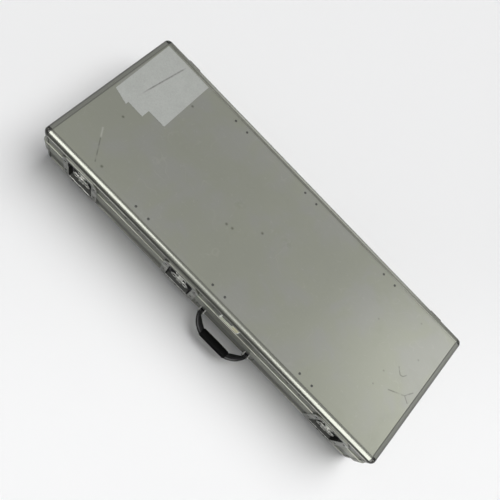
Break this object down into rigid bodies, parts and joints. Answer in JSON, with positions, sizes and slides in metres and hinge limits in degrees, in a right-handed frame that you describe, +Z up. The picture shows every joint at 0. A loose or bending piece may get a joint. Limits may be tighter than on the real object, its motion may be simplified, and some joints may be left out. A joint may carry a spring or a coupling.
{
  "type": "electric guitar case",
  "caption": "Rectangular aluminium flight case for an electric guitar, with a hinged lid, recessed butterfly latches, a folding handle and a fitted foam bed.",
  "frame": {"origin": "centre of the underside of the base, on the surface the case lies on", "axes": "+X along the case, -Y out of the latch side, +Y out of the hinge side, +Z up through the lid"},
  "size_m": [1.0854, 0.4655, 0.15],
  "materials": {
    "panel_sheet": "dull brushed sheet, lightly scratched",
    "edge_aluminium": "satin extruded",
    "closure_aluminium": "satin extruded",
    "cast_caps": "polished, worn",
    "latch_plate": "bright zinc, worn",
    "latch_metal": "bright zinc",
    "plated_steel": "zinc plated",
    "rivet_metal": "dull",
    "black_plastic": "smooth moulded",
    "grip_rubber": "fine grain",
    "rubber": "matt",
    "foam_plush": "short plush over foam",
    "paper_label": "worn blank card"
  },
  "bodies": {
    "base": {"base_bottom_panel": "panel_sheet", "base_front_panel": "panel_sheet", "base_back_panel": "panel_sheet", "base_end_panels": "panel_sheet", "base_front_edge": "edge_aluminium", "base_back_edge": "edge_aluminium", "base_end_edges": "edge_aluminium", "base_corner_posts": "edge_aluminium", "base_corner_caps": "cast_caps", "base_front_closure": "closure_aluminium", "base_back_closure": "closure_aluminium", "base_end_closures": "closure_aluminium", "base_closure_corners": "closure_aluminium", "base_seal": "rubber", "base_rivets": "rivet_metal", "base_hinge_leaves": "plated_steel", "base_feet": "rubber", "base_foam_block": "foam_plush", "handle_brackets": "plated_steel", "latch_left_dish": "latch_plate", "latch_middle_dish": "latch_plate", "latch_right_dish": "latch_plate"},
    "lid": {"lid_top_panel": "panel_sheet", "lid_front_panel": "panel_sheet", "lid_back_panel": "panel_sheet", "lid_end_panels": "panel_sheet", "lid_front_edge": "edge_aluminium", "lid_back_edge": "edge_aluminium", "lid_end_edges": "edge_aluminium", "lid_corner_posts": "edge_aluminium", "lid_corner_caps": "cast_caps", "lid_front_closure": "closure_aluminium", "lid_back_closure": "closure_aluminium", "lid_end_closures": "closure_aluminium", "lid_closure_corners": "closure_aluminium", "lid_stiffeners": "plated_steel", "lid_rivets": "rivet_metal", "lid_hinge_leaves": "plated_steel", "lid_feet": "rubber", "lid_foam_pad": "foam_plush", "lid_blank_label": "paper_label", "latch_left_keeper": "latch_plate", "latch_middle_keeper": "latch_plate", "latch_right_keeper": "latch_plate"},
    "handle": {"handle_bow": "black_plastic", "handle_grip": "grip_rubber"},
    "left_rotor": {"latch_left_rotor": "latch_metal"},
    "left_left_wing": {"latch_left_left_wing": "latch_metal"},
    "left_right_wing": {"latch_left_right_wing": "latch_metal"},
    "left_hook": {"latch_left_hook": "latch_metal"},
    "middle_rotor": {"latch_middle_rotor": "latch_metal"},
    "middle_left_wing": {"latch_middle_left_wing": "latch_metal"},
    "middle_right_wing": {"latch_middle_right_wing": "latch_metal"},
    "middle_hook": {"latch_middle_hook": "latch_metal"},
    "right_rotor": {"latch_right_rotor": "latch_metal"},
    "right_left_wing": {"latch_right_left_wing": "latch_metal"},
    "right_right_wing": {"latch_right_right_wing": "latch_metal"},
    "right_hook": {"latch_right_hook": "latch_metal"}
  },
  "joints": [
    {"name": "lid_hinge", "type": "hinge", "parent": "base", "child": "lid", "pos_m": [0, 0.2059, 0.079], "axis": [-1, 0, 0], "range_deg": [0, 100]},
    {"name": "handle_swing", "type": "hinge", "parent": "base", "child": "handle", "pos_m": [0.0855, -0.2065, 0.042], "axis": [1, 0, 0], "range_deg": [-75, 75]},
    {"name": "left_latch_turn", "type": "hinge", "parent": "base", "child": "left_rotor", "pos_m": [-0.417, -0.203, 0.065], "axis": [0, 1, 0], "range_deg": [0, 180]},
    {"name": "left_hook_lift", "type": "slide", "parent": "base", "child": "left_hook", "axis": [0, 0, 1], "range_m": [0, 0.006]},
    {"name": "left_left_wing_fold", "type": "hinge", "parent": "left_rotor", "child": "left_left_wing", "pos_m": [-0.4225, -0.1975, 0.065], "axis": [0, 0, 1], "range_deg": [0, 90]},
    {"name": "left_right_wing_fold", "type": "hinge", "parent": "left_rotor", "child": "left_right_wing", "pos_m": [-0.4115, -0.1975, 0.065], "axis": [0, 0, -1], "range_deg": [0, 90]},
    {"name": "middle_latch_turn", "type": "hinge", "parent": "base", "child": "middle_rotor", "pos_m": [-0.083, -0.203, 0.065], "axis": [0, 1, 0], "range_deg": [0, 180]},
    {"name": "middle_hook_lift", "type": "slide", "parent": "base", "child": "middle_hook", "axis": [0, 0, 1], "range_m": [0, 0.006]},
    {"name": "middle_left_wing_fold", "type": "hinge", "parent": "middle_rotor", "child": "middle_left_wing", "pos_m": [-0.0885, -0.1975, 0.065], "axis": [0, 0, 1], "range_deg": [0, 90]},
    {"name": "middle_right_wing_fold", "type": "hinge", "parent": "middle_rotor", "child": "middle_right_wing", "pos_m": [-0.0775, -0.1975, 0.065], "axis": [0, 0, -1], "range_deg": [0, 90]},
    {"name": "right_latch_turn", "type": "hinge", "parent": "base", "child": "right_rotor", "pos_m": [0.424, -0.203, 0.065], "axis": [0, 1, 0], "range_deg": [0, 180]},
    {"name": "right_hook_lift", "type": "slide", "parent": "base", "child": "right_hook", "axis": [0, 0, 1], "range_m": [0, 0.006]},
    {"name": "right_left_wing_fold", "type": "hinge", "parent": "right_rotor", "child": "right_left_wing", "pos_m": [0.4185, -0.1975, 0.065], "axis": [0, 0, 1], "range_deg": [0, 90]},
    {"name": "right_right_wing_fold", "type": "hinge", "parent": "right_rotor", "child": "right_right_wing", "pos_m": [0.4295, -0.1975, 0.065], "axis": [0, 0, -1], "range_deg": [0, 90]}
  ],
  "couplings": [
    {"joint": "left_latch_turn", "follows": "left_hook_lift", "rad_per_m": 523.59},
    {"joint": "middle_latch_turn", "follows": "middle_hook_lift", "rad_per_m": 523.59},
    {"joint": "right_latch_turn", "follows": "right_hook_lift", "rad_per_m": 523.59}
  ]
}
